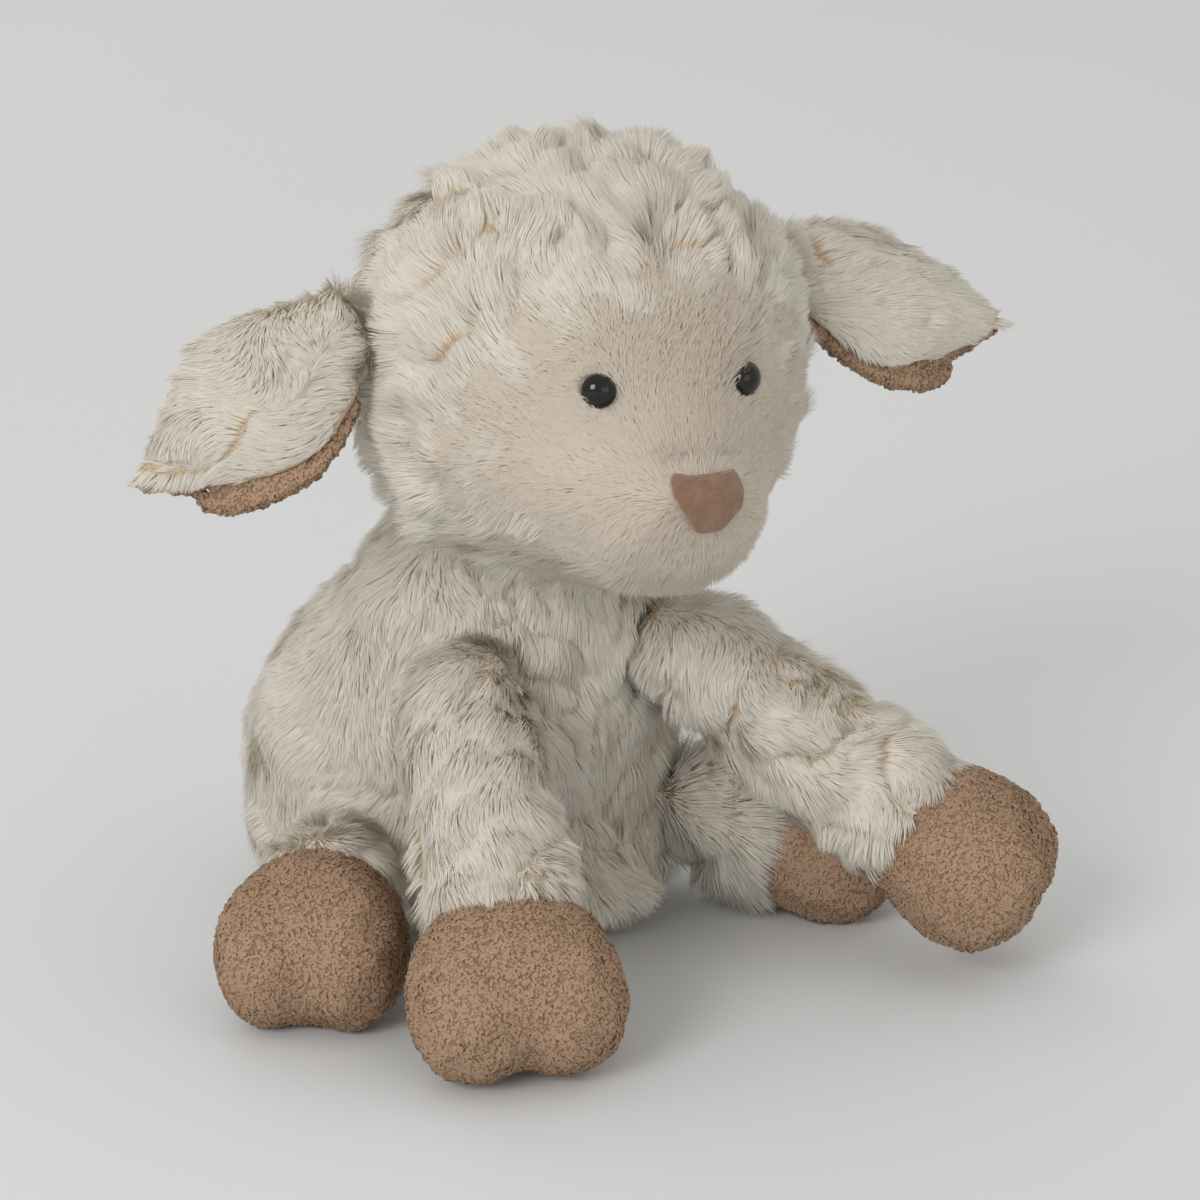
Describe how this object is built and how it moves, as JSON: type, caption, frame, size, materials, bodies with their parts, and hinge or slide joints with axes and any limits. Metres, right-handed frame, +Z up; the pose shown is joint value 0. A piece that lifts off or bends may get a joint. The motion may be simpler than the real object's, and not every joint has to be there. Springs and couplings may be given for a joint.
{
  "type": "plush sheep",
  "caption": "Seated plush lamb with long curly pile, a smooth face, glossy button eyes, lined drooping ears and terry hooves; its head, ears, legs and tail bend at their seams.",
  "frame": {"origin": "on the floor, on the flat of the seat under the middle of the body", "axes": "+Z up; the lamb faces -Y, with its left side towards +X"},
  "size_m": [0.2592, 0.2609, 0.2425],
  "materials": {
    "wool_pile": "long curly pile, cream white",
    "short_pile": "short smooth pile, pale beige",
    "terry": "looped terry, tan",
    "velour": "smooth velour, pinkish tan",
    "polyester_filling": "loose filling",
    "pouch_cloth": "plain woven cloth",
    "eye_gloss": "black, polished",
    "washer_plastic": "plain white",
    "thread": "brown embroidery thread"
  },
  "bodies": {
    "torso": {"torso_cover": "wool_pile", "torso_fill": "polyester_filling", "neck": "wool_pile", "pellet_pouch": "pouch_cloth"},
    "head": {"head_hood": "wool_pile", "face_panel": "short_pile", "head_fill": "polyester_filling", "nose_pad": "velour", "mouth_thread": "thread", "left_eye": "eye_gloss", "left_eye_washer": "washer_plastic", "right_eye": "eye_gloss", "right_eye_washer": "washer_plastic"},
    "left_ear": {"left_ear_back": "wool_pile", "left_ear_lining": "terry"},
    "right_ear": {"right_ear_back": "wool_pile", "right_ear_lining": "terry"},
    "left_foreleg": {"left_foreleg_sleeve": "wool_pile", "left_foreleg_hoof": "terry", "left_foreleg_fill": "polyester_filling"},
    "right_foreleg": {"right_foreleg_sleeve": "wool_pile", "right_foreleg_hoof": "terry", "right_foreleg_fill": "polyester_filling"},
    "left_hindleg": {"left_hindleg_sleeve": "wool_pile", "left_hindleg_hoof": "terry", "left_hindleg_fill": "polyester_filling"},
    "right_hindleg": {"right_hindleg_sleeve": "wool_pile", "right_hindleg_hoof": "terry", "right_hindleg_fill": "polyester_filling"},
    "tail": {"tail": "wool_pile"}
  },
  "joints": [
    {"name": "head_nod", "type": "hinge", "parent": "torso", "child": "head", "pos_m": [0, -0.044, 0.13428], "axis": [0.9984, -0.0436, -0.0349], "range_deg": [-10, 8], "stiffness_Nm_per_rad": 1.5},
    {"name": "left_ear_flop", "type": "hinge", "parent": "head", "child": "left_ear", "pos_m": [0.06492, -0.07706, 0.19931], "axis": [-0.3298, -0.6341, -0.6994], "range_deg": [-18, 22], "stiffness_Nm_per_rad": 0.03},
    {"name": "right_ear_flop", "type": "hinge", "parent": "head", "child": "right_ear", "pos_m": [-0.06637, -0.06674, 0.19479], "axis": [-0.3101, 0.6918, 0.6522], "range_deg": [-18, 22], "stiffness_Nm_per_rad": 0.03},
    {"name": "left_shoulder", "type": "hinge", "parent": "torso", "child": "left_foreleg", "pos_m": [0.04018, -0.07087, 0.0874], "axis": [-0.7193, -0.6947, 0], "range_deg": [0, 24], "stiffness_Nm_per_rad": 0.4},
    {"name": "right_shoulder", "type": "hinge", "parent": "torso", "child": "right_foreleg", "pos_m": [-0.03686, -0.07285, 0.08454], "axis": [-0.9613, 0.2756, 0], "range_deg": [0, 24], "stiffness_Nm_per_rad": 0.4},
    {"name": "left_hip", "type": "hinge", "parent": "torso", "child": "left_hindleg", "pos_m": [0.06081, -0.04773, 0.03107], "axis": [0, 0, 1], "range_deg": [0, 24], "stiffness_Nm_per_rad": 0.15},
    {"name": "right_hip", "type": "hinge", "parent": "torso", "child": "right_hindleg", "pos_m": [-0.06395, -0.04375, 0.03081], "axis": [0, 0, -1], "range_deg": [0, 24], "stiffness_Nm_per_rad": 0.15},
    {"name": "tail_wag", "type": "hinge", "parent": "torso", "child": "tail", "pos_m": [0, 0.0694, 0.04545], "axis": [1, 0, 0], "range_deg": [-12, 20], "stiffness_Nm_per_rad": 0.02}
  ]
}
